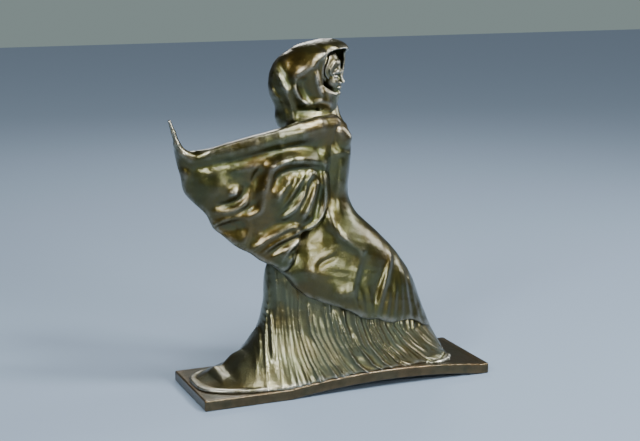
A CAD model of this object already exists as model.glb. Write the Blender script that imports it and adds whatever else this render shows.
import math

import bpy
import numpy as np
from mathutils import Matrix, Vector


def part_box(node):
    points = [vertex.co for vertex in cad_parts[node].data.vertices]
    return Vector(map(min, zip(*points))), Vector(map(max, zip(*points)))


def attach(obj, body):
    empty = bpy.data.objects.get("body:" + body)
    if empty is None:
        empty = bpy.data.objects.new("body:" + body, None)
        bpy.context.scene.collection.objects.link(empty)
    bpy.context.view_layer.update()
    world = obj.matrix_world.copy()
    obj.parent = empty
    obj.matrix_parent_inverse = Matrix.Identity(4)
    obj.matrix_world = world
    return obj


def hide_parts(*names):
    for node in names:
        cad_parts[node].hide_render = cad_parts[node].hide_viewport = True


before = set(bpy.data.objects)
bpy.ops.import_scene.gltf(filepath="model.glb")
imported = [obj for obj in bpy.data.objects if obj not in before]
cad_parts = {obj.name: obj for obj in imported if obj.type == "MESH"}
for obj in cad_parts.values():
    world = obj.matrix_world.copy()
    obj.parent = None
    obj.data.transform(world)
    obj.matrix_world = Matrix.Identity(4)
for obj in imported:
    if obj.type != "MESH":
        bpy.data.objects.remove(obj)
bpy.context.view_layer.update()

import openvdb
from mathutils import Vector

# ---------------------------------------------------------------------------------------------
# The plate: a thin bronze tray, cast with an arch that lifts it off the table between its ends.
# Its top is rough and patinated green-brown, and its filed edges have worn to a copper colour.
# It carries the figure, which is screwed to it from below.
# ---------------------------------------------------------------------------------------------
MM = 0.001
plate_low, plate_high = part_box("base_plate")
plate_centre_x = (plate_low[0] + plate_high[0]) / 2 / MM
plate_half_length = (plate_high[0] - plate_low[0]) / 2 / MM
plate_half_depth = (plate_high[1] - plate_low[1]) / 2 / MM
plate_thickness = 9.5
arch_rise = plate_high[2] / MM - plate_thickness
arch_start = -58.0
arch_end = 126.0


def arch_height(x):
    """How far the arched plate has risen, at places along it."""
    half_span = (arch_end - arch_start) / 2
    radius = (half_span**2 + arch_rise**2) / (2 * arch_rise)
    offset = np.clip(x - (arch_start + arch_end) / 2, -half_span, half_span)
    return np.sqrt(radius**2 - offset**2) - (radius - arch_rise)


def smooth_max(a, b, soft):
    """The larger of two fields, with a rounded corner between them."""
    blend = np.clip(0.5 + 0.5 * (a - b) / soft, 0.0, 1.0)
    return b + (a - b) * blend + soft * blend * (1.0 - blend)


def cast(name, low, high, step, field):
    """A closed mesh where a field, in millimetres from the plate's middle, is zero."""
    band = 3 * step
    axes = [
        np.arange(start - band, end + band, step, dtype=np.float32) for start, end in zip(low, high)
    ]
    x, y, z = np.meshgrid(*axes, indexing="ij", sparse=True)
    values = np.asarray(field(x, y, z), dtype=np.float32)
    values = np.ascontiguousarray(np.broadcast_to(values, [len(axis) for axis in axes]))
    grid = openvdb.FloatGrid(band)
    grid.copyFromArray(np.clip(values, -band, band))
    points, quads = grid.convertToQuads(0.0)
    points = points * step + np.array([axis[0] for axis in axes])
    return piece_from(name, points, quads, step)


def piece_from(name, points, quads, step):
    """A mesh object from points in millimetres, with its bends measured on it."""
    mesh = bpy.data.meshes.new(name)
    placed = (points + np.array([plate_centre_x, 0.0, 0.0])) * MM
    mesh.vertices.add(len(placed))
    mesh.vertices.foreach_set("co", placed.astype(np.float32).ravel())
    mesh.loops.add(quads.size)
    mesh.loops.foreach_set("vertex_index", quads.astype(np.int32).ravel())
    mesh.polygons.add(len(quads))
    mesh.polygons.foreach_set("loop_start", np.arange(0, quads.size, 4, dtype=np.int32))
    mesh.update(calc_edges=True)
    mesh.validate()
    mesh.shade_smooth()
    measure_bends(mesh, step)
    piece = bpy.data.objects.new(name, mesh)
    bpy.context.scene.collection.objects.link(piece)
    return piece


def measure_bends(mesh, step):
    """Stores on each point how sharply the surface bends there, and how it bends around it."""
    broad_reach = 24
    count = len(mesh.vertices)
    co = np.empty(count * 3, dtype=np.float32)
    mesh.vertices.foreach_get("co", co)
    co = co.reshape(-1, 3) / MM
    normals = np.empty(count * 3, dtype=np.float32)
    mesh.vertices.foreach_get("normal", normals)
    normals = normals.reshape(-1, 3)
    edges = np.empty(len(mesh.edges) * 2, dtype=np.int32)
    mesh.edges.foreach_get("vertices", edges)
    a, b = edges.reshape(-1, 2).T
    ties = np.maximum(np.bincount(a, minlength=count) + np.bincount(b, minlength=count), 1)

    def around(values):
        total = np.bincount(a, weights=values[b], minlength=count)
        return (total + np.bincount(b, weights=values[a], minlength=count)) / ties

    smooth = co
    for _ in range(4):
        smooth = np.stack([around(smooth[:, i]) for i in range(3)], axis=1)
    bend = np.sum((co - smooth) * normals, axis=1) / step**2
    for _ in range(2):
        bend = 0.5 * bend + 0.5 * around(bend)
    broad = bend
    for _ in range(int(broad_reach / step)):
        broad = around(broad)
    for title, values in (("bend", bend), ("broad_bend", broad)):
        layer = mesh.attributes.new(title, "FLOAT", "POINT")
        layer.data.foreach_set("value", values.astype(np.float32))


def nodes_of(tree, kind, **settings):
    """A new node with its properties set."""
    node = tree.nodes.new(kind)
    for title, value in settings.items():
        setattr(node, title, value)
    return node


def noise(tree, scale, detail=3.0, roughness=0.55, stretch=(1, 1, 1)):
    """Noise laid over the object, counted in spots per metre."""
    place = nodes_of(tree, "ShaderNodeTexCoord")
    turn = nodes_of(tree, "ShaderNodeMapping")
    turn.inputs["Scale"].default_value = stretch
    texture = nodes_of(tree, "ShaderNodeTexNoise")
    texture.inputs["Scale"].default_value = scale
    texture.inputs["Detail"].default_value = detail
    texture.inputs["Roughness"].default_value = roughness
    tree.links.new(place.outputs["Object"], turn.inputs["Vector"])
    tree.links.new(turn.outputs["Vector"], texture.inputs["Vector"])
    return texture.outputs["Fac"]


def ramp(tree, value, low, high):
    """A mask that goes smoothly from none to full as a value goes from low to high."""
    node = nodes_of(tree, "ShaderNodeMapRange", interpolation_type="SMOOTHSTEP")
    node.inputs["From Min"].default_value = low
    node.inputs["From Max"].default_value = high
    tree.links.new(value, node.inputs["Value"])
    return node.outputs["Result"]


def math_of(tree, operation, first, second):
    """Arithmetic on two values, either of which may be a number."""
    node = nodes_of(tree, "ShaderNodeMath", operation=operation)
    for socket, value in zip(node.inputs, (first, second)):
        if isinstance(value, (int, float)):
            socket.default_value = value
        else:
            tree.links.new(value, socket)
    return node.outputs["Value"]


def mix_sockets(node):
    """The colour sockets of a mix node."""
    colours = [socket for socket in node.inputs if socket.type == "RGBA"]
    factor = [s for s in node.inputs if s.name == "Factor" and s.type == "VALUE"][0]
    result = [socket for socket in node.outputs if socket.type == "RGBA"][0]
    return factor, colours[0], colours[1], result


def mixed(tree, share, first, second, blend="MIX"):
    """Two colours mixed by a mask."""
    node = nodes_of(tree, "ShaderNodeMix", data_type="RGBA", blend_type=blend)
    factor, a, b, result = mix_sockets(node)
    for socket, value in ((factor, share), (a, first), (b, second)):
        if isinstance(value, (int, float, tuple)):
            socket.default_value = value
        else:
            tree.links.new(value, socket)
    return result


# Patina on cast bronze: brown and olive clouds, green left in the hollows, ridges worn bright
patina = bpy.data.node_groups.new("patina", "ShaderNodeTree")
for title, kind in (
    ("Brown", "NodeSocketColor"),
    ("Olive", "NodeSocketColor"),
    ("Warm", "NodeSocketColor"),
    ("Green", "NodeSocketColor"),
    ("Worn", "NodeSocketColor"),
    ("Green amount", "NodeSocketFloat"),
    ("Wear amount", "NodeSocketFloat"),
):
    patina.interface.new_socket(title, in_out="INPUT", socket_type=kind)
for title, kind in (
    ("Color", "NodeSocketColor"),
    ("Roughness", "NodeSocketFloat"),
    ("Height", "NodeSocketFloat"),
):
    patina.interface.new_socket(title, in_out="OUTPUT", socket_type=kind)
given = nodes_of(patina, "NodeGroupInput").outputs
bend = nodes_of(patina, "ShaderNodeAttribute", attribute_name="bend").outputs["Fac"]
broad = nodes_of(patina, "ShaderNodeAttribute", attribute_name="broad_bend").outputs["Fac"]
clouds = noise(patina, 34, 3, 0.5)
spots = noise(patina, 140, 4, 0.6)
flecks = noise(patina, 620, 3, 0.65)
grain = noise(patina, 1900, 2, 0.6)
blushes = noise(patina, 21, 2, 0.5)


def times(first, second):
    """Two of the patina's values multiplied."""
    return math_of(patina, "MULTIPLY", first, second)


def plus(first, second):
    """Two of the patina's values added."""
    return math_of(patina, "ADD", first, second)


colour = mixed(patina, ramp(patina, clouds, 0.38, 0.62), given["Brown"], given["Olive"])
warmth = times(ramp(patina, blushes, 0.52, 0.68), 0.75)
colour = mixed(patina, warmth, colour, given["Warm"])
hollow = times(ramp(patina, broad, -0.01, -0.09), ramp(patina, spots, 0.36, 0.58))
colour = mixed(patina, times(hollow, given["Green amount"]), colour, given["Green"])
rubbed = plus(bend, times(math_of(patina, "SUBTRACT", flecks, 0.5), 0.35))
worn = times(ramp(patina, rubbed, 0.18, 0.7), 0.6)
proud = times(ramp(patina, broad, 0.03, 0.16), ramp(patina, spots, 0.3, 0.6))
worn = plus(worn, times(proud, 0.5))
worn = times(worn, given["Wear amount"])
colour = mixed(patina, worn, colour, given["Worn"])
shade = plus(0.82, times(flecks, 0.36))
shader_out = nodes_of(patina, "NodeGroupOutput")
dim = nodes_of(patina, "ShaderNodeVectorMath", operation="SCALE")
patina.links.new(colour, dim.inputs["Vector"])
patina.links.new(shade, dim.inputs["Scale"])
patina.links.new(dim.outputs["Vector"], shader_out.inputs["Color"])
rough = plus(0.24, times(spots, 0.17))
rough = plus(rough, times(hollow, 0.16))
rough = math_of(patina, "SUBTRACT", rough, times(worn, 0.06))
patina.links.new(rough, shader_out.inputs["Roughness"])
height = plus(times(spots, 0.5), times(flecks, 0.3))
height = plus(height, times(grain, 0.16))
patina.links.new(height, shader_out.inputs["Height"])


wax_roughness = 0.15


def patinated(name, colours, green, wear, metallic, coat, depth):
    """A bronze with the patina: five colours, and how much green, wear, metal, wax and grain."""
    material = bpy.data.materials.new(name)
    material.use_nodes = True
    tree = material.node_tree
    shader = tree.nodes["Principled BSDF"]
    group = nodes_of(tree, "ShaderNodeGroup", node_tree=patina)
    for title, value in zip(("Brown", "Olive", "Warm", "Green", "Worn"), colours):
        group.inputs[title].default_value = (*value, 1)
    group.inputs["Green amount"].default_value = green
    group.inputs["Wear amount"].default_value = wear
    tree.links.new(group.outputs["Color"], shader.inputs["Base Color"])
    tree.links.new(group.outputs["Roughness"], shader.inputs["Roughness"])
    bump = nodes_of(tree, "ShaderNodeBump")
    bump.inputs["Strength"].default_value = 1.0
    bump.inputs["Distance"].default_value = depth
    tree.links.new(group.outputs["Height"], bump.inputs["Height"])
    tree.links.new(bump.outputs["Normal"], shader.inputs["Normal"])
    tree.links.new(bump.outputs["Normal"], shader.inputs["Coat Normal"])
    shader.inputs["Metallic"].default_value = metallic
    shader.inputs["Coat Weight"].default_value = coat
    shader.inputs["Coat Roughness"].default_value = wax_roughness
    return material


tray_rim = 4.0
tray_depth = 4.5
plate_top = 17.0
plate_step = 0.9


def plate_field(x, y, z):
    """The arched slab, hollowed from below like a tray."""
    rise = arch_height(x)
    beyond_end = np.abs(x) - plate_half_length
    beyond_side = np.abs(y) - plate_half_depth
    above_top = z - rise - plate_thickness
    faces = smooth_max(above_top, rise - z, 0.6)
    block = smooth_max(smooth_max(beyond_end, beyond_side, 1.0), faces, 1.0)
    tray = smooth_max(beyond_end + tray_rim, beyond_side + tray_rim, 2.0)
    tray = np.maximum(tray, above_top + tray_depth)
    return smooth_max(block, -tray, 0.8)


plate_reach = (plate_half_length, plate_half_depth)
plate_start = (-plate_half_length, -plate_half_depth, 0.0)
plate = cast("plate", plate_start, (*plate_reach, plate_top), plate_step, plate_field)
plate_colours = [
    (0.036, 0.030, 0.012),
    (0.034, 0.034, 0.016),
    (0.052, 0.036, 0.014),
    (0.034, 0.044, 0.022),
    (0.30, 0.19, 0.10),
]
plate_bronze = patinated(
    "plate_bronze", plate_colours, green=0.7, wear=0.3, metallic=0.8, coat=0.3, depth=0.0004
)
plate.data.materials.append(plate_bronze)
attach(plate, "root")
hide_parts("base_plate")

# ---------------------------------------------------------------------------------------------
# The underskirt: a hollow bronze casting whose fine pleats fan out over the plate, with a smooth
# train at the back that ends in a rolled border. Its floor is screwed to the plate from below.
# ---------------------------------------------------------------------------------------------
figure_colours = [
    (0.060, 0.051, 0.010),
    (0.060, 0.063, 0.017),
    (0.088, 0.058, 0.010),
    (0.046, 0.062, 0.024),
    (0.50, 0.48, 0.42),
]
figure_bronze = patinated(
    "figure_bronze", figure_colours, green=0.6, wear=0.55, metallic=0.97, coat=0.7, depth=0.0005
)

# Level cuts: height, back, front, near side, far side, squareness
skirt_rows = [
    (8, -131, 108, -43.8, 41, 3.0),
    (13, -122, 106, -43.2, 40.5, 2.8),
    (18, -109, 103, -42.2, 40, 2.6),
    (26, -95, 100, -40.5, 39, 2.5),
    (38, -80, 94, -37.5, 36, 2.3),
    (52, -70, 88, -34.5, 34, 2.2),
    (70, -65, 80, -32, 32, 2.0),
    (92, -63, 68, -30, 30, 2.0),
    (118, -60, 48, -28, 28, 2.0),
]
# Guide folds of the fan of pleats on the near side, from the top down: distance along, height
pleat_guides = [
    [(-72, 110), (-69, 88), (-73, 62), (-81, 37), (-88, 16)],
    [(-62, 104), (-61, 78), (-65, 52), (-70, 27), (-73, 10)],
    [(-50, 86), (-50, 59), (-49, 37), (-44, 12)],
    [(-40, 82), (-40, 54), (-35, 31), (-26, 10)],
    [(-29, 76), (-27, 52), (-17, 29), (-5, 13)],
    [(-15, 69), (-10, 46), (1, 25), (14, 13)],
    [(-1, 61), (5, 40), (18, 22), (33, 13)],
    [(16, 59), (22, 40), (36, 22), (52, 11)],
    [(30, 54), (39, 36), (55, 20), (72, 12)],
    [(44, 51), (57, 34), (75, 19), (90, 12)],
    [(62, 45), (75, 32), (88, 24), (100, 17)],
    [(80, 46), (89, 36), (98, 27), (108, 18)],
]
# Folds seen from the side: points along and up, width, height, lean to the line's left
train_folds = [
    ([(-76, 112), (-75, 90), (-77, 68), (-84, 50), (-92, 30), (-97, 18)], 2.2, 3.6, 0.4),
    ([(-70, 108), (-68, 86), (-71, 64), (-78, 48), (-84, 28)], 2.0, -2.4),
    ([(-88, 62), (-94, 50), (-101, 38), (-108, 26), (-113, 16)], 3.8, 6.6, -0.3),
    ([(-82, 58), (-89, 43), (-97, 29), (-103, 18)], 2.8, -4.8),
]
# The rolled corner of the hem: places along, across and up, with the roll's radius
hem_curl = [
    (78, -38, 14, 2.4),
    (88, -36, 13.5, 2.8),
    (97, -31, 13.5, 2.6),
    (103, -22, 13, 2.2),
    (104, -10, 12, 1.6),
]
# A low boss cast round the core hole
skirt_bosses = [(-40, 58, 6, 6, 0, 1.8)]
# Folds of the train seen from above: distance along, distance across
train_rays = [
    ([(-78, -8), (-95, -14), (-118, -24)], 3.2, 1.8),
    ([(-80, 12), (-98, 10), (-126, 4)], 3.6, 2.2),
    ([(-76, 26), (-95, 30), (-118, 34)], 3.2, 1.8),
    ([(-78, 19), (-98, 21), (-122, 20)], 3.0, -1.8),
]


def smooth_min(a, b, soft):
    """The smaller of two fields, with a rounded corner between them."""
    return -smooth_max(-a, -b, soft)


def smooth_line(points, parts=7):
    """Points along a smooth curve through a few given ones."""
    line = np.array(points, dtype=float)
    padded = np.vstack([2 * line[0] - line[1], line, 2 * line[-1] - line[-2]])
    found = []
    for i in range(1, len(padded) - 2):
        before, start, end, after = padded[i - 1 : i + 3]
        for t in np.linspace(0, 1, parts, endpoint=False):
            bend = 2 * before - 5 * start + 4 * end - after
            twist = -before + 3 * start - 3 * end + after
            found.append(0.5 * (2 * start + (end - before) * t + bend * t**2 + twist * t**3))
    found.append(line[-1])
    return np.array(found)


def limbs(points, x, y, z, soft=4.0):
    """A field about rounded limbs strung from point to point, each with its radius."""
    field = None
    for (ax, ay, az, ar), (bx, by, bz, br) in zip(points, points[1:]):
        ux, uy, uz = bx - ax, by - ay, bz - az
        run = ux**2 + uy**2 + uz**2
        t = np.clip(((x - ax) * ux + (y - ay) * uy + (z - az) * uz) / run, 0, 1)
        gap = (x - ax - t * ux) ** 2 + (y - ay - t * uy) ** 2 + (z - az - t * uz) ** 2
        limb = np.sqrt(gap) - (ar + t * (br - ar))
        field = limb if field is None else smooth_min(field, limb, soft)
    return field


def softened(heights, rounds):
    """A relief with its creases rounded off."""
    for _ in range(rounds):
        for axis in (0, 1):
            beside = np.roll(heights, 1, axis) + np.roll(heights, -1, axis)
            heights = 0.5 * heights + 0.25 * beside
    return heights


def relief(x, z, folds, softening=0):
    """How far folds raise a surface, seen from the side."""
    px, pz = np.meshgrid(x.ravel(), z.ravel(), indexing="ij")
    total = np.zeros(px.shape)
    for points, width, height, *lean in folds:
        line = smooth_line(points)
        lengths = np.hypot(*np.diff(line, axis=0).T)
        travelled = np.concatenate([[0], np.cumsum(lengths)])
        nearest = np.full(px.shape, 1e9)
        share = np.zeros(px.shape)
        left = np.zeros(px.shape)
        for i, ((ax, az), (bx, bz)) in enumerate(zip(line, line[1:])):
            t = np.clip(((px - ax) * (bx - ax) + (pz - az) * (bz - az)) / lengths[i] ** 2, 0, 1)
            gap = (px - ax - t * (bx - ax)) ** 2 + (pz - az - t * (bz - az)) ** 2
            closer = gap < nearest
            nearest = np.where(closer, gap, nearest)
            share = np.where(closer, (travelled[i] + t * lengths[i]) / travelled[-1], share)
            offset = ((bx - ax) * (pz - az) - (bz - az) * (px - ax)) / lengths[i]
            left = np.where(closer, offset, left)
        fade = np.clip(4 * share * (1 - share), 0, 1) ** 0.5
        reach = 0.8 * width * (1 + (lean[0] if lean else 0) * np.tanh(left / width))
        crest = 1.2 * width
        flank = np.exp(-(np.sqrt(nearest + crest**2) - crest) / reach)
        total += height * flank * (0.2 + 0.8 * fade)
    return softened(total, softening)[:, None, :]


def bumps(x, z, spots):
    """How far round swellings raise a surface: middle, two radii, lean in degrees and height."""
    px, pz = np.meshgrid(x.ravel(), z.ravel(), indexing="ij")
    total = np.zeros(px.shape)
    for cx, cz, along_radius, across_radius, lean, height in spots:
        turn = math.radians(lean)
        u = (px - cx) * math.cos(turn) + (pz - cz) * math.sin(turn)
        v = (pz - cz) * math.cos(turn) - (px - cx) * math.sin(turn)
        total += height * np.exp(-((u / along_radius) ** 2) - (v / across_radius) ** 2)
    return total[:, None, :]


def fan(x, z, guides):
    """Which guide fold each place lies on, counted in guides from the first one."""
    count = np.zeros((x.size, z.size))
    lines = [np.array(guide, dtype=float)[::-1] for guide in guides]
    for k, height in enumerate(z.ravel()):
        knots = [np.interp(height, line[:, 1], line[:, 0]) for line in lines]
        count[:, k] = np.interp(x.ravel(), np.maximum.accumulate(knots), np.arange(len(guides)))
    return count


def pleats(x, z, guides, seed, spacing=0.36, deep=1.5):
    """The relief of many uneven pleats that run along guide folds."""
    chance = np.random.default_rng(seed)
    where = fan(x, z, guides)
    heights = z.ravel()[None, :]
    total = np.zeros(where.shape)
    middle = 0.1
    while middle < len(guides) - 1:
        swing = chance.uniform(-0.08, 0.08)
        sway = swing * np.sin(heights / chance.uniform(9, 22) + chance.uniform(0, 6))
        width = spacing * chance.uniform(0.26, 0.46)
        height = deep * chance.uniform(0.35, 1.25)
        top = chance.uniform(45, 120)
        foot = chance.choice([0, 0, 0, 18, 30])
        length = np.clip((top - heights) / 10, 0, 1) * np.clip((heights - foot) / 8, 0, 1)
        crest = 0.3 * width
        flank = (np.sqrt((where - middle - sway) ** 2 + crest**2) - crest) / width
        total += 1.25 * height * length * np.exp(-1.5 * flank)
        middle += spacing * chance.uniform(0.75, 1.25)
    ends = np.clip(where / 0.3, 0, 1) * np.clip((len(guides) - 1 - where) / 0.3, 0, 1)
    return (total * ends)[:, None, :]


def lofted(rows, x, y, z):
    """A field about smooth level cuts: height, back, front, near side, far side and squareness."""
    table = np.array(rows, dtype=float)
    heights = table[:, 0]
    level = np.clip(z, heights[0], heights[-1]).ravel()
    back, front, near, far, square = [
        smooth_rows(level, heights, table[:, i]).reshape(z.shape) for i in range(1, 6)
    ]
    u = np.abs(x - (back + front) / 2) / ((front - back) / 2)
    v = np.abs(y - (near + far) / 2) / ((far - near) / 2)
    stretch = (u**square + v**square) ** (1 / square)
    reach = np.sqrt((x - (back + front) / 2) ** 2 + (y - (near + far) / 2) ** 2)
    side = reach * (1 - 1 / np.maximum(stretch, 0.02))
    ends = np.maximum(z - heights[-1], heights[0] - z)
    return smooth_max(side, ends, 3.0)


def smooth_rows(level, heights, values):
    """A smooth curve through values at heights."""
    slopes = np.gradient(values, heights)
    i = np.clip(np.searchsorted(heights, level) - 1, 0, len(heights) - 2)
    run = heights[i + 1] - heights[i]
    t = (level - heights[i]) / run
    start = values[i] * (2 * t**3 - 3 * t**2 + 1) + slopes[i] * run * (t**3 - 2 * t**2 + t)
    return start + values[i + 1] * (3 * t**2 - 2 * t**3) + slopes[i + 1] * run * (t**3 - t**2)


def near_side(y, middle=0.0, soft=12.0):
    """One on the near side of a line along the figure, nothing on the far side."""
    return 0.5 - 0.5 * np.tanh((y - middle) / soft)


def unevenness(x, y, z):
    """The slow dents that fingers left in the wax."""
    slow = np.sin(x / 4.7 + 1.1 * np.sin(z / 6.1)) * np.sin(z / 5.3 + 1.3 * np.sin(y / 6.7))
    quick = np.sin(x / 2.3 + z / 3.1 + 1.2 * np.sin(z / 4.1)) * np.sin(z / 2.6 - x / 4.3 + y / 2.9)
    return 0.22 * slow + 0.10 * quick


border_inset = 2.6
border_radius = 2.6
train_start = -72
border_end = -60
skirt_step = 0.98


def skirt_field(x, y, z):
    """The pleated cone, its train, and the sheet with a rolled border that lies on the plate."""
    near = relief(x, z, train_folds)
    near = near + pleats(x, z, pleat_guides, seed=4, spacing=0.29, deep=2.4)
    far = relief(x, z, train_folds)
    far = far + pleats(x, z, pleat_guides, seed=11, spacing=0.45, deep=2.6)
    far = far + bumps(x, z, skirt_bosses)
    share = near_side(y)
    base = lofted(skirt_rows, x, y, z) - near * share - far * (1 - share) + unevenness(x, y, z)
    on_train = np.clip((train_start - x) / 20, 0, 1) * np.clip((70 - z) / 20, 0, 1)
    base = base - np.moveaxis(relief(x, y, train_rays), 1, 2) * on_train
    base = smooth_min(base, limbs(hem_curl, x, y, z), 3.0)
    foot = skirt_rows[0][1:]
    footprint = lofted([(0, *foot), (20, *foot)], x, y, np.full(z.shape, 10.0))
    top = arch_height(x) + plate_thickness
    sheet = smooth_max(footprint + 1.2, np.abs(z - top - 1.0) - 1.0, 0.8)
    roll_height = 1.5 * (z - top - 1.2)
    roll = np.sqrt((footprint + border_inset) ** 2 + roll_height**2) - border_radius
    border = smooth_min(sheet, roll, 1.5)
    border = np.where(x < border_end, border, border + (x - border_end) * 0.25)
    field = smooth_min(base, border, 4.0)
    return smooth_max(field, top - z, 0.5)


skirt = cast("skirt", (-132, -44, 9), (109, 42, 118), skirt_step, skirt_field)
skirt_colours = [
    (0.120, 0.110, 0.050),
    (0.115, 0.120, 0.062),
    (0.125, 0.098, 0.032),
    (0.060, 0.074, 0.040),
    (0.56, 0.55, 0.48),
]
skirt_bronze = patinated(
    "skirt_bronze", skirt_colours, green=0.6, wear=1.0, metallic=0.97, coat=0.6, depth=0.0005
)
skirt.data.materials.append(skirt_bronze)
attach(skirt, "root")
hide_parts("skirt_casting")

# ---------------------------------------------------------------------------------------------
# Screws and washers: four turned brass cheese-headed screws with a washer each, driven up through
# the plate into the skirt's floor. Their turned faces have tarnished brown.
# ---------------------------------------------------------------------------------------------
brass = bpy.data.materials.new("turned_brass")
brass.use_nodes = True
tree = brass.node_tree
shader = tree.nodes["Principled BSDF"]
tarnish = ramp(tree, noise(tree, 260, 4, 0.6), 0.42, 0.62)
turned = noise(tree, 900, 2, 0.5, (1, 1, 9))
bright_brass = (0.56, 0.40, 0.15, 1)
brown_brass = (0.16, 0.10, 0.035, 1)
tree.links.new(mixed(tree, tarnish, bright_brass, brown_brass), shader.inputs["Base Color"])
roughness = math_of(tree, "ADD", 0.26, math_of(tree, "MULTIPLY", tarnish, 0.24))
tree.links.new(roughness, shader.inputs["Roughness"])
cuts = nodes_of(tree, "ShaderNodeBump")
cuts.inputs["Distance"].default_value = 0.00008
tree.links.new(turned, cuts.inputs["Height"])
tree.links.new(cuts.outputs["Normal"], shader.inputs["Normal"])
shader.inputs["Metallic"].default_value = 1.0
for name in ("base_screws", "base_washers"):
    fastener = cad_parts[name]
    fastener.data.materials.clear()
    fastener.data.materials.append(brass)

# ---------------------------------------------------------------------------------------------
# Torso and overskirt: one hollow bronze casting. The cloth clings to breast, ribs and hip, and
# the overskirt is drawn across to a long uneven hem. It stands on a sleeve of the skirt.
# ---------------------------------------------------------------------------------------------
body_rows = [
    (20, -78, 104, -41, 39, 2.2),
    (36, -73, 95, -40.5, 38, 2.2),
    (64, -70, 82, -39.5, 37, 2.2),
    (92, -66, 71, -38, 36, 2.2),
    (116, -60, 54, -36, 34, 2.1),
    (136, -48, 34, -32.5, 31, 2.1),
    (150, -36, 19, -27, 26, 2.0),
    (166, -25, 11.5, -21, 20, 2.0),
    (190, -25, 12, -22, 21, 2.2),
    (214, -27, 12.5, -24, 24, 2.3),
    (226, -24, 9, -24, 24, 2.2),
    (235, -16, 4.5, -15, 15, 2.0),
    (246, -13, 3, -8, 8, 2.0),
]
# The overskirt's hem: distance along, height
hem_line = [
    (-110, 134), (-76, 119), (-62, 111.5), (-53, 102.5), (-47, 93), (-38, 85.5), (-25, 80),
    (-12, 75.5), (0, 70), (8, 64.5), (16, 61.5), (26, 61), (33, 57.5), (42, 55), (52, 55.5),
    (61, 54.5), (69, 51), (77, 46), (86, 43), (100, 41), (120, 41),
]
body_folds = [
    (
        [(-15, 163), (-14.5, 152), (-12, 144), (-7, 137), (0, 131), (8, 125), (14, 119)],
        4.0, 4.6, 0.6,
    ),
    ([(12, 124), (7, 108), (1, 94), (-4, 80)], 3.0, 2.0, 0.5),
    ([(14, 116), (10, 98), (6, 82)], 2.5, -1.8),
    ([(44, 117), (39, 105), (33, 92), (28, 79), (23, 63)], 1.7, 2.6, 0.35),
    ([(50, 112), (43, 98), (37, 84), (31, 68)], 2.4, -0.8),
    ([(36, 110), (28, 94), (21, 76)], 3.6, -1.2),
    ([(-31, 112), (-22, 116), (-12, 120)], 1.0, -1.6),
    ([(1, 90), (4, 78), (10, 66)], 1.2, 2.0),
    ([(7, 94), (10, 80), (13, 66)], 1.2, 1.8),
    ([(16, 90), (18, 78), (19, 64)], 1.2, 1.6),
    ([(38, 86), (36, 74), (33, 60)], 1.3, 1.9),
    ([(46, 90), (43, 74), (41, 58)], 1.3, 1.9),
    ([(52, 104), (51, 84), (50, 58)], 1.6, 1.8),
    ([(56, 100), (57, 80), (60, 56)], 1.4, 2.2),
    ([(62, 92), (66, 72), (71, 50)], 1.4, 2.0),
    ([(67, 84), (73, 64), (80, 44)], 1.4, 1.8),
    ([(72, 76), (80, 56), (89, 38)], 1.4, 1.5),
    ([(-2, 200), (-5, 186), (-6, 170), (-4, 156)], 2.2, 2.0),
    ([(-13, 205), (-14, 188), (-13, 172), (-14, 160)], 2.4, 1.6),
    ([(-16, 228), (-9, 220), (-7, 210)], 2.2, -2.4),
    ([(-8, 208), (0, 208), (8, 207)], 1.8, -1.6),
    ([(-2, 196), (2, 186), (3, 172), (2, 160)], 2.6, 1.2),
    ([(-60, 116), (-50, 124), (-42, 132)], 2.0, 1.6),
]
# Swellings: middle along and up, two radii, lean in degrees, height
body_bumps = [
    (-4, 206, 6, 3, 10, 1.4),
    (-2, 177, 5, 9, 0, 1.6),
    (-38, 108, 12, 14, 20, 4.0),
    (-22, 98, 26, 16, -30, 2.5),
    (-10, 87, 8, 7, 0, 2.4),
    (26, 118, 16, 12, -40, 1.8),
    (-24, 134, 14, 8, 40, -2.5),
]
far_folds = [
    ([(-20, 220), (-18, 190), (-26, 160), (-44, 125), (-56, 105)], 4.5, 2.2),
    ([(-10, 205), (-12, 180), (-16, 155), (-20, 125), (-22, 90)], 4.0, 2.0),
    ([(2, 175), (6, 150), (14, 120), (20, 85), (22, 62)], 4.5, 2.4),
    ([(10, 165), (26, 135), (44, 105), (56, 70), (62, 50)], 4.5, 2.2),
    ([(-3, 170), (-2, 145), (-1, 115), (0, 80)], 4.0, -1.8),
    ([(-34, 150), (-38, 130), (-40, 100)], 4.0, -1.8),
    ([(22, 140), (36, 112), (42, 80)], 4.0, -1.6),
]
# Low bosses cast round the core holes
far_bosses = [(-4, 148, 6, 6, 0, 2.5)]
far_arm = [(-6, 20, 224, 8.0), (-20, 23, 194, 7.0), (6, 18, 180, 5.5)]
breasts = [(3.5, -15, 216, 6.2), (9, 5, 216, 6.2)]
near_hip = [(-44, -16, 104, 15), (-32, -16, 126, 14), (-16, -11, 144, 11)]


fold_softening = 4
body_step = 0.9


def body_field(x, y, z):
    """Torso, far arm, hips and overskirt, cut off along the hem."""
    share = near_side(y)
    base = smooth_min(lofted(body_rows, x, y, z), limbs(far_arm, x, y, z), 5.0)
    base = smooth_min(base, limbs(near_hip, x, y, z), 8.0)
    for bx, by, bz, radius in breasts:
        ball = np.sqrt((x - bx) ** 2 + (y - by) ** 2 + (z - bz) ** 2) - radius
        base = smooth_min(base, ball, 3.5)
    near = relief(x, z, body_folds, fold_softening) + bumps(x, z, body_bumps)
    base = base - near * share
    far = relief(x, z, far_folds) + bumps(x, z, far_bosses)
    base = base - far * (1 - share) + unevenness(x, y, z)
    hem = np.interp(x.ravel(), *np.array(hem_line).T).reshape(x.shape)
    return smooth_max(base, hem - z, 2.0)


body = cast("body", (-80, -44, 12), (110, 42, 247), body_step, body_field)
body.data.materials.append(figure_bronze)
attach(body, "root")
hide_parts("body_casting")

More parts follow.
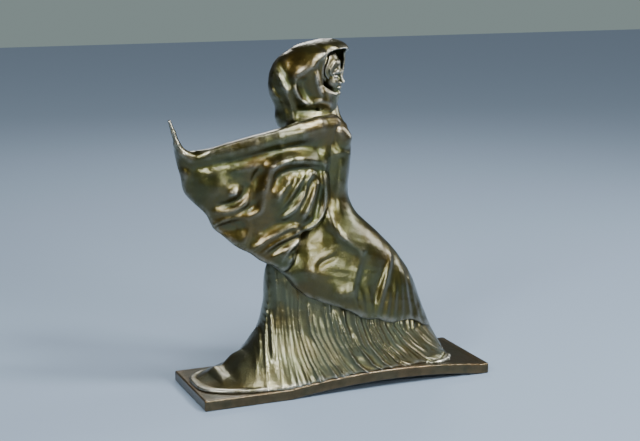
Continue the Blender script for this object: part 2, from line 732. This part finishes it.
# ---------------------------------------------------------------------------------------------
# The cape: a thin bronze sheet that hangs like a wing from the near arm, wrapped in its upper
# edge, and ends in a small curled horn. Its root lies on the torso, pinned through to it.
# ---------------------------------------------------------------------------------------------
# The cape's outline: points along and up
cape_edge = [
    (-143, 216), (-142, 206), (-139, 191), (-136, 178), (-129, 169), (-121, 160), (-116, 149),
    (-108, 142), (-97, 132), (-86, 126), (-77, 119), (-66, 114), (-59, 109), (-52, 111),
    (-46, 118), (-45, 127), (-42, 134), (-40, 141), (-26, 142), (-16, 151), (-11, 165),
    (-11, 186), (-9, 200), (-7, 212), (-5, 226), (-8, 233), (-25, 232), (-45, 231),
    (-70, 226), (-100, 219), (-120, 213), (-134, 211),
]
# The sheet's middle seen from above: points along and across
cape_middle = [
    (-150, -8), (-134, -11), (-120, -16), (-100, -20), (-78, -25), (-56, -29), (-42, -29),
    (-32, -27), (-24, -24), (-16, -22), (-8, -21.5), (0, -19),
]
# The wrapped arm, from the shoulder to the horn's tip: along, across, up, radius
arm = [
    (4, -2, 222, 8.5), (-8, -13, 229.5, 8.2), (-24, -21, 229.5, 7.6), (-42, -25, 226, 7.0),
    (-60, -25, 221, 6.4), (-80, -22, 216.5, 5.6), (-100, -18, 211.5, 4.8),
    (-118, -13.5, 207.5, 4.2), (-130, -10.5, 207, 3.6), (-138, -9, 211.5, 3.0),
    (-142, -8, 219, 2.4), (-144.5, -7, 228, 1.9), (-147.5, -6, 237.5, 1.3),
]
cape_folds = [
    (
        [(-128, 201), (-108, 203), (-90, 206), (-74, 210), (-56, 213), (-38, 214), (-22, 211)],
        3.8, -4.4,
    ),
    ([(-70, 211), (-54, 214), (-36, 212), (-20, 206)], 6.0, -2.6),
    ([(-16, 197), (-30, 200), (-44, 203), (-60, 203), (-78, 201), (-100, 198)], 5.0, 5.0, -0.4),
    (
        [
            (-50, 206), (-60, 204), (-68, 198), (-73, 189), (-75.5, 179), (-76.5, 170),
            (-79, 163), (-87, 157),
        ],
        3.4, 6.2, 0.45,
    ),
    ([(-72, 205), (-78, 197), (-82, 187), (-83.5, 176), (-86, 167), (-92, 160)], 2.4, -3.2, 0.3),
    ([(-66, 186), (-58, 193), (-42, 196), (-26, 194), (-14, 190)], 2.6, -3.8),
    ([(-52, 188), (-60, 178), (-67, 166)], 3.6, 3.4),
    ([(-39, 191), (-46, 183), (-55, 171), (-63, 161)], 1.6, 3.0, 0.3),
    ([(-31, 193), (-37, 185), (-42, 174), (-50, 163), (-61, 154)], 1.6, 5.0, 0.4),
    ([(-34, 188), (-40, 179), (-48, 168)], 1.8, -2.4),
    ([(-26, 184), (-32, 172), (-38, 161), (-43, 151)], 3.2, 5.2, 0.3),
    ([(-23.5, 180), (-25, 167), (-31, 154)], 2.2, -3.4),
    (
        [(-19, 198), (-19, 181), (-19, 166), (-22, 155), (-29, 147.5), (-39, 143.5), (-49, 142)],
        1.5, 4.6, 0.3,
    ),
    ([(-44, 146), (-53, 147), (-63, 143), (-73, 137.5), (-85, 128)], 1.6, 4.2, -0.3),
    ([(-44, 142), (-55, 138.5), (-66, 134), (-78, 125)], 1.5, 3.4, -0.3),
    ([(-50, 152), (-62, 151), (-78, 143)], 3.0, -2.0),
    ([(-41, 135), (-50, 131.5), (-57, 125), (-62, 116)], 1.5, 4.4, -0.3),
    ([(-52, 133), (-60, 128), (-68, 121)], 1.4, 2.6),
    ([(-44, 138.5), (-58, 132.5), (-70, 124)], 1.5, -1.6),
    ([(-119, 150), (-108, 155), (-98, 157), (-88, 158)], 1.8, 3.4, 0.4),
    ([(-112, 146), (-99, 147), (-86, 149)], 4.0, -2.6),
    ([(-87, 157), (-88, 146), (-91, 133)], 1.6, 2.2, -0.4),
    ([(-82, 185), (-86, 176), (-93, 168), (-103, 163), (-117, 162)], 1.8, 3.6),
    ([(-78, 182), (-83, 172), (-91, 165)], 1.3, 2.2),
    ([(-88, 186), (-91, 175), (-100, 169), (-113, 168)], 2.2, -3.6),
    ([(-134, 203), (-131, 188), (-124, 172)], 4.0, -2.2),
    ([(-122, 196), (-108, 198), (-96, 198)], 2.6, 1.8),
]
cape_bumps = [
    (-114, 182, 15, 16, -30, 4.5),
    (-99, 178, 5.0, 4.0, 20, 4.0),
    (-53, 120, 6.0, 3.6, 60, 2.6),
    (-137, 192, 8.0, 4.5, 75, 3.0),
    (-66, 176, 6, 8, 20, 2.0),
    (-44, 158, 7, 6, 30, 2.0),
]


def outline_field(points, x, z):
    """Distance in from a closed outline, seen from the side: negative inside it."""
    px, pz = np.meshgrid(x.ravel(), z.ravel(), indexing="ij")
    nearest = np.full(px.shape, 1e9)
    inside = np.zeros(px.shape, dtype=bool)
    for (ax, az), (bx, bz) in zip(points, points[1:] + points[:1]):
        run = (bx - ax) ** 2 + (bz - az) ** 2
        t = np.clip(((px - ax) * (bx - ax) + (pz - az) * (bz - az)) / run, 0, 1)
        gap = (px - ax - t * (bx - ax)) ** 2 + (pz - az - t * (bz - az)) ** 2
        nearest = np.minimum(nearest, gap)
        crosses = (az > pz) != (bz > pz)
        side = ax + (pz - az) / (bz - az + 1e-9) * (bx - ax)
        inside ^= crosses & (px < side)
    signed = np.where(inside, -1, 1) * np.sqrt(nearest)
    return signed[:, None, :]


cape_half_thickness = 2.2
root_thickening = 9
cape_softening = 6
cape_step = 0.7


def cape_field(x, y, z):
    """The folded sheet, rolled at its border and thickened at its root, with the arm in it."""
    middle = np.interp(x.ravel(), *np.array(smooth_line(cape_middle)).T).reshape(x.shape)
    middle = middle - relief(x, z, cape_folds, cape_softening) - bumps(x, z, cape_bumps)
    outline = smooth_line(cape_edge + cape_edge[:1], 4)[:-1]
    edge = outline_field([tuple(point) for point in outline], x, z)
    on_body = np.clip((x + 62) / 20, 0, 1)
    rolled = np.clip((-118 - x) / 10, 0, 1) * np.clip((z - 158) / 14, 0, 1)
    inward = np.minimum(edge, 0)
    middle = middle + 4 * on_body * np.exp(inward / 3) + 7 * rolled * np.exp(inward / 4)
    middle = middle + unevenness(x, y, z)
    root = np.clip((x + 44) / 14, 0, 1) * np.clip((z - 138) / 12, 0, 1)
    behind = y - middle - cape_half_thickness - root_thickening * root
    sheet = smooth_max(middle - cape_half_thickness - y, behind, 1.0)
    sheet = smooth_max(sheet, edge, 2.5)
    return smooth_min(sheet, limbs(arm, x, y, z, 1.5), 7.0)


cape = cast("cape", (-150, -44, 105), (8, 5, 242), cape_step, cape_field)
cape.data.materials.append(figure_bronze)
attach(cape, "root")
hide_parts("cape_casting")

# ---------------------------------------------------------------------------------------------
# Veil and neck: the outer part of the head's one hollow bronze casting, which is set on a spigot
# of the torso and pinned. The veil stands round the face like a brim, crosses under the chin, and
# hangs behind in soft folds. Combed hair shows inside it.
# ---------------------------------------------------------------------------------------------
head_rows = [
    (226, -50, -2, -17, 17, 2),
    (234, -53, 1, -17, 17, 2),
    (243, -53, 4, -16.5, 16.5, 2),
    (255, -57.5, 8, -19, 19, 2),
    (265, -58.5, 11, -20.5, 20.5, 2),
    (275, -56.5, 14, -21, 21, 2),
    (284, -51, 15, -19.5, 19.5, 2),
    (291, -41, 13, -16, 16, 2),
    (297, -28, 8, -9, 9, 2),
    (300, -14, 1, -3, 3, 2),
]
face_turn = math.radians(-45)
face_middle = (-8, 0, 268.5)
head_size = 1.12
veil_folds = [
    ([(-17, 290), (-15, 280), (-14, 268), (-12, 255), (-10, 243)], 1.0, 2.0),
    ([(-23, 284), (-20, 272), (-17, 258)], 2.0, -2.4),
    ([(-46, 271), (-35, 277), (-25, 284), (-17, 292)], 4.0, 5.0, 0.4),
    ([(-43, 270), (-42.5, 260), (-38, 252), (-31, 247)], 1.5, 3.8, -0.3),
    ([(-36, 270), (-34, 260), (-29, 252)], 2.2, -3.4),
    ([(-26, 275), (-23, 263), (-19, 253)], 1.4, 3.2, 0.3),
    ([(-36, 248), (-28, 247), (-20, 249), (-13, 247), (-8, 243)], 1.8, 3.2, 0.3),
    ([(-40, 241), (-24, 241.5), (-9, 240)], 2.2, -3.6),
    ([(-61, 266), (-57, 256), (-51, 248), (-48, 238), (-48, 228)], 1.4, 3.4),
    ([(-53, 264), (-48, 253), (-44, 243), (-43, 232)], 1.4, 3.0),
    ([(-57, 262), (-52, 251), (-48, 243)], 1.2, -1.6),
    ([(-59, 252), (-56, 240), (-56, 228)], 1.3, 2.2),
    ([(-60, 266), (-58, 276), (-53, 286), (-44, 293), (-30, 298)], 1.5, 3.0),
    ([(-54, 275), (-52, 267), (-48, 257)], 1.3, 3.0),
    ([(-50, 286), (-50, 273), (-46, 262)], 2.4, -3.6),
    ([(-36, 292), (-44, 282), (-46, 271)], 2.4, -2.6),
    ([(-17, 296), (-8, 296), (0, 292), (8, 288)], 1.0, 1.4),
]
veil_bumps = [
    (-17, 290, 2.2, 2.2, 0, 1.4),
]
far_veil_folds = [
    ([(-50, 286), (-48, 268), (-46, 248), (-47, 230)], 3.0, 1.8),
    ([(-38, 292), (-36, 272), (-33, 250), (-34, 232)], 2.6, 1.6),
    ([(-24, 294), (-22, 275), (-19, 252), (-18, 234)], 2.6, 1.6),
    ([(-10, 292), (-9, 275), (-7, 255), (-6, 240)], 1.8, 1.6),
    ([(-44, 280), (-42, 262), (-40, 240)], 2.6, -1.6),
    ([(-30, 284), (-28, 262), (-26, 240)], 2.6, -1.4),
    ([(-38, 266), (-38, 258)], 2.0, 1.0),
]


def egg(forward, aside, rise, place, radii):
    """A field about an ellipsoid, in the head's own directions."""
    u = (forward - place[0]) / radii[0]
    v = (aside - place[1]) / radii[1]
    w = (rise - place[2]) / radii[2]
    stretch = np.sqrt(u**2 + v**2 + w**2)
    return (stretch - 1) * min(radii)


def head_directions(x, y, z, size=1.0):
    """Places forward of the head's middle, to its side and up, for a head of a given size."""
    cosine, sine = math.cos(face_turn), math.sin(face_turn)
    forward = (x - face_middle[0]) * cosine + (y - face_middle[1]) * sine
    aside = (y - face_middle[1]) * cosine - (x - face_middle[0]) * sine
    return forward / size, aside / size, (z - face_middle[2]) / size


veil_thickness = 2.8
veil_softening = 6
veil_step = 0.55
hair_middle = (-0.6, 0, 6.0)
hair_radii = (12.7, 11.9, 14.6)
neck_line = [(-8, 0, 258, 7.4), (-6, 0, 232, 9.0)]


def hood_field(x, y, z):
    """The veil drawn over the head, hollow behind its brim, with hair and neck inside."""
    forward, aside, rise = head_directions(x, y, z)
    share = near_side(y)
    plain = lofted(head_rows, x, y, z)
    near = relief(x, z, veil_folds, veil_softening) + bumps(x, z, veil_bumps)
    hood = plain - near * share
    hood = hood - relief(x, z, far_veil_folds) * (1 - share) + 0.8 * unevenness(x, y, z)
    drape = np.clip((-6 - rise) / 12, 0, 1) * np.clip((4 - aside) / 10, 0, 1)
    brim = 8.5 + 0.06 * rise + 0.1 * aside + 9 * drape - forward
    front = smooth_max(brim, rise - 23.5 + 0.012 * aside**2, 3.0)
    hood = smooth_max(hood, -front, 1.2)
    cavity = smooth_max(plain + veil_thickness, -2.0 - forward, 3.0)
    cavity = smooth_max(cavity, 240 - z, 3.0)
    hood = smooth_max(hood, -cavity, 1.2)
    locks = 0.35 * np.sin(1.9 * forward + 1.5 * np.sin(0.35 * rise) + 0.5 * np.abs(aside))
    on_head = head_directions(x, y, z, head_size)
    hair = head_size * (egg(*on_head, hair_middle, hair_radii) + locks)
    neck = limbs(neck_line, x, y, z)
    return smooth_min(smooth_min(hood, neck, 2.5), hair, 0.8)


hood = cast("veil_and_neck", (-63, -24, 226), (17, 24, 300), veil_step, hood_field)
hood.data.materials.append(figure_bronze)
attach(hood, "root")
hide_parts("head_casting")

# ---------------------------------------------------------------------------------------------
# Face: cast in one with the head, then chased and burnished. It is calm and plain, in thirds for
# brow, nose and chin, with the eyes half way down the head and an eye's width between them.
# ---------------------------------------------------------------------------------------------
face_step = 0.33
eye_aside = 3.9
eye_half_width = 2.0
brow_line = [(11.9, 1.6, 3.2, 0.5), (11.5, 4.6, 3.9, 0.5), (9.6, 7.2, 2.6, 0.3)]
nose_line = [(12.1, 0, 3.0, 0.7), (12.8, 0, 0.4, 0.75), (14.6, 0, -3.9, 1.15)]


def face_field(x, y, z):
    """Skull, cheeks and jaw, then sockets, lids, brow, nose, lips and chin."""
    forward, aside, rise = head_directions(x, y, z, head_size)
    side = np.abs(aside)
    face = egg(forward, aside, rise, (-0.6, 0, 4.0), (13.0, 10.0, 13.0))
    face = smooth_min(face, egg(forward, aside, rise, (3.2, 0, -5.2), (8.8, 7.6, 11.0)), 4.0)
    face = smooth_min(face, egg(forward, side, rise, (7.0, 4.6, -4.0), (3.8, 3.4, 3.6)), 2.5)
    sockets = egg(forward, side, rise, (13.4, 4.0, 0.6), (3.0, 3.2, 2.2))
    face = smooth_max(face, -sockets, 1.4)
    lids = egg(forward, side, rise, (10.1, eye_aside, 0.4), (1.7, 2.2, 1.35))
    face = smooth_min(face, lids, 0.35)
    from_pupil = side - eye_aside
    past_corner = np.maximum(np.abs(from_pupil) - eye_half_width, 0)
    lashes = np.sqrt((rise + 0.55 + 0.10 * from_pupil**2) ** 2 + past_corner**2)
    face = smooth_max(face, 0.28 - np.maximum(lashes, np.abs(lids) * 0.6), 0.2)
    brow = limbs(brow_line, forward, side, rise)
    face = smooth_min(face, brow, 1.1)
    bridge = limbs(nose_line, forward, aside, rise, 0.8)
    face = smooth_min(face, bridge, 1.2)
    face = smooth_min(face, egg(forward, side, rise, (12.7, 1.35, -4.5), (1.35, 1.0, 0.85)), 0.5)
    nostril = egg(forward, side, rise, (13.6, 0.85, -5.4), (0.7, 0.4, 0.4))
    face = smooth_max(face, -nostril, 0.3)
    upper_lip = limbs([(12.5, 0.5, -7.75, 0.62), (11.4, 2.6, -8.3, 0.25)], forward, side, rise)
    lower_lip = limbs([(12.3, 0.0, -9.05, 0.72), (11.3, 2.3, -8.6, 0.25)], forward, side, rise)
    face = smooth_min(face, smooth_min(upper_lip, lower_lip, 0.15), 0.45)
    face = smooth_min(face, egg(forward, aside, rise, (9.4, 0, -13.2), (2.9, 3.2, 2.5)), 2.2)
    return head_size * smooth_max(face, -1.5 - forward, 1.0)


face = cast("face", (-19, -19, 246), (15, 15, 292), face_step, face_field)
face.data.materials.append(figure_bronze)
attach(face, "root")

# ---------------------------------------------------------------------------------------------
# Plugs and pins: bronze rod driven through the castings and into the holes the core left, then
# filed flush and patinated over. The cape's three pins are cut off short where its root is thin.
# ---------------------------------------------------------------------------------------------
for name in ("skirt_core_plugs", "body_core_plugs", "waist_pins", "head_core_plug", "neck_pin"):
    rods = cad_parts[name]
    rods.data.materials.clear()
    rods.data.materials.append(figure_bronze)

pin_places = [(-10, 218, -15.5), (-12, 196, -15.5), (-12, 176, -15.5)]
pin_radius = 1.5
pin_half_length = 3.5


def pins_field(x, y, z):
    """Three rods that run across the figure, cut off square."""
    field = None
    for px, pz, middle in pin_places:
        side = np.sqrt((x - px) ** 2 + (z - pz) ** 2) - pin_radius
        pin = smooth_max(side, np.abs(y - middle) - pin_half_length, 0.3)
        field = pin if field is None else np.minimum(field, pin)
    return field


pins = cast("cape_root_pins", (-14, -24, 174), (-8, -14, 220), 0.4, pins_field)
pins.data.materials.append(figure_bronze)
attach(pins, "root")
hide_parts("cape_pins")

# ---------------------------------------------------------------------------------------------
# Table and room: a broad painted table top that the statuette stands on, and a plain pale room
# round it. The camera sees the room; reflections find it darker than that, as in a dim hall.
# ---------------------------------------------------------------------------------------------
floor_mesh = bpy.data.meshes.new("table")
floor_mesh.from_pydata([(-4, -4, 0), (4, -4, 0), (4, 4, 0), (-4, 4, 0)], [], [(0, 1, 2, 3)])
floor = bpy.data.objects.new("table", floor_mesh)
bpy.context.scene.collection.objects.link(floor)
table_paint = bpy.data.materials.new("table_paint")
table_paint.use_nodes = True
shader = table_paint.node_tree.nodes["Principled BSDF"]
shader.inputs["Base Color"].default_value = (0.155, 0.205, 0.27, 1)
shader.inputs["Roughness"].default_value = 0.7
floor_mesh.materials.append(table_paint)

world = bpy.data.worlds.new("room")
world.use_nodes = True
room = world.node_tree
wall = room.nodes["Background"]
wall.inputs["Color"].default_value = (0.21, 0.265, 0.26, 1)
wall.inputs["Strength"].default_value = 1.0
gloom = nodes_of(room, "ShaderNodeBackground")
gloom.inputs["Color"].default_value = (0.05, 0.055, 0.055, 1)
seen = nodes_of(room, "ShaderNodeLightPath")
either = nodes_of(room, "ShaderNodeMixShader")
room.links.new(seen.outputs["Is Camera Ray"], either.inputs["Fac"])
room.links.new(gloom.outputs["Background"], either.inputs[1])
room.links.new(wall.outputs["Background"], either.inputs[2])
room.links.new(either.outputs["Shader"], room.nodes["World Output"].inputs["Surface"])
bpy.context.scene.world = world


# ---------------------------------------------------------------------------------------------
# Lamps: six softboxes on stands round the table, the key lamp high on the left, and a broad soft
# light from above that only brightens the bronze and leaves no glare on it.
# ---------------------------------------------------------------------------------------------
def softbox(name, place, aim, width, height, power):
    light = bpy.data.lights.new(name, "AREA")
    light.shape = "RECTANGLE"
    light.size = width
    light.size_y = height
    light.energy = power
    lamp = bpy.data.objects.new(name, light)
    lamp.location = place
    lamp.rotation_euler = (Vector(aim) - Vector(place)).to_track_quat("-Z", "Y").to_euler()
    bpy.context.scene.collection.objects.link(lamp)


softbox("key", (-1.2, -0.9, 1.1), (0, 0, 0.15), 0.35, 0.3, 25)
softbox("top", (0.1, -0.6, 1.5), (0, 0, 0.15), 0.4, 0.25, 14)
softbox("hip", (0.69, -0.77, 1.27), (0, 0, 0.12), 0.28, 0.22, 30)
softbox("fill", (0.42, -1.35, 0.62), (0, 0, 0.1), 0.35, 0.25, 14)
softbox("rim", (1.2, 0.1, 0.6), (0, 0, 0.15), 0.2, 0.5, 7)
softbox("back", (0.3, 1.2, 1.0), (0, 0, 0.15), 0.6, 0.4, 7)
sky = bpy.data.lights.new("sky", "SUN")
sky.energy = 3.0
sky.angle = math.radians(28)
above = bpy.data.objects.new("sky", sky)
above.rotation_euler = Vector((-0.35, -0.65, 0.85)).to_track_quat("Z", "Y").to_euler()
above.visible_glossy = False
bpy.context.scene.collection.objects.link(above)

# ---------------------------------------------------------------------------------------------
# Camera: a lens of twice the usual length, a little over a metre away, that stands some way round
# to the left of the plate's front and looks slightly down on it.
# ---------------------------------------------------------------------------------------------
lens = bpy.data.cameras.new("camera")
lens.lens = 74.4
lens.sensor_width = 36
lens.clip_start = 0.01
camera = bpy.data.objects.new("camera", lens)
azimuth = math.radians(-22.6)
pitch = math.radians(11.8)
level = math.cos(pitch)
back = Vector((math.sin(azimuth) * level, -math.cos(azimuth) * level, math.sin(pitch)))
camera.location = Vector((-0.444, -1.036, 0.378)) + Vector((plate_centre_x * MM, 0, 0))
camera.rotation_euler = back.to_track_quat("Z", "Y").to_euler()
bpy.context.scene.collection.objects.link(camera)
bpy.context.scene.camera = camera
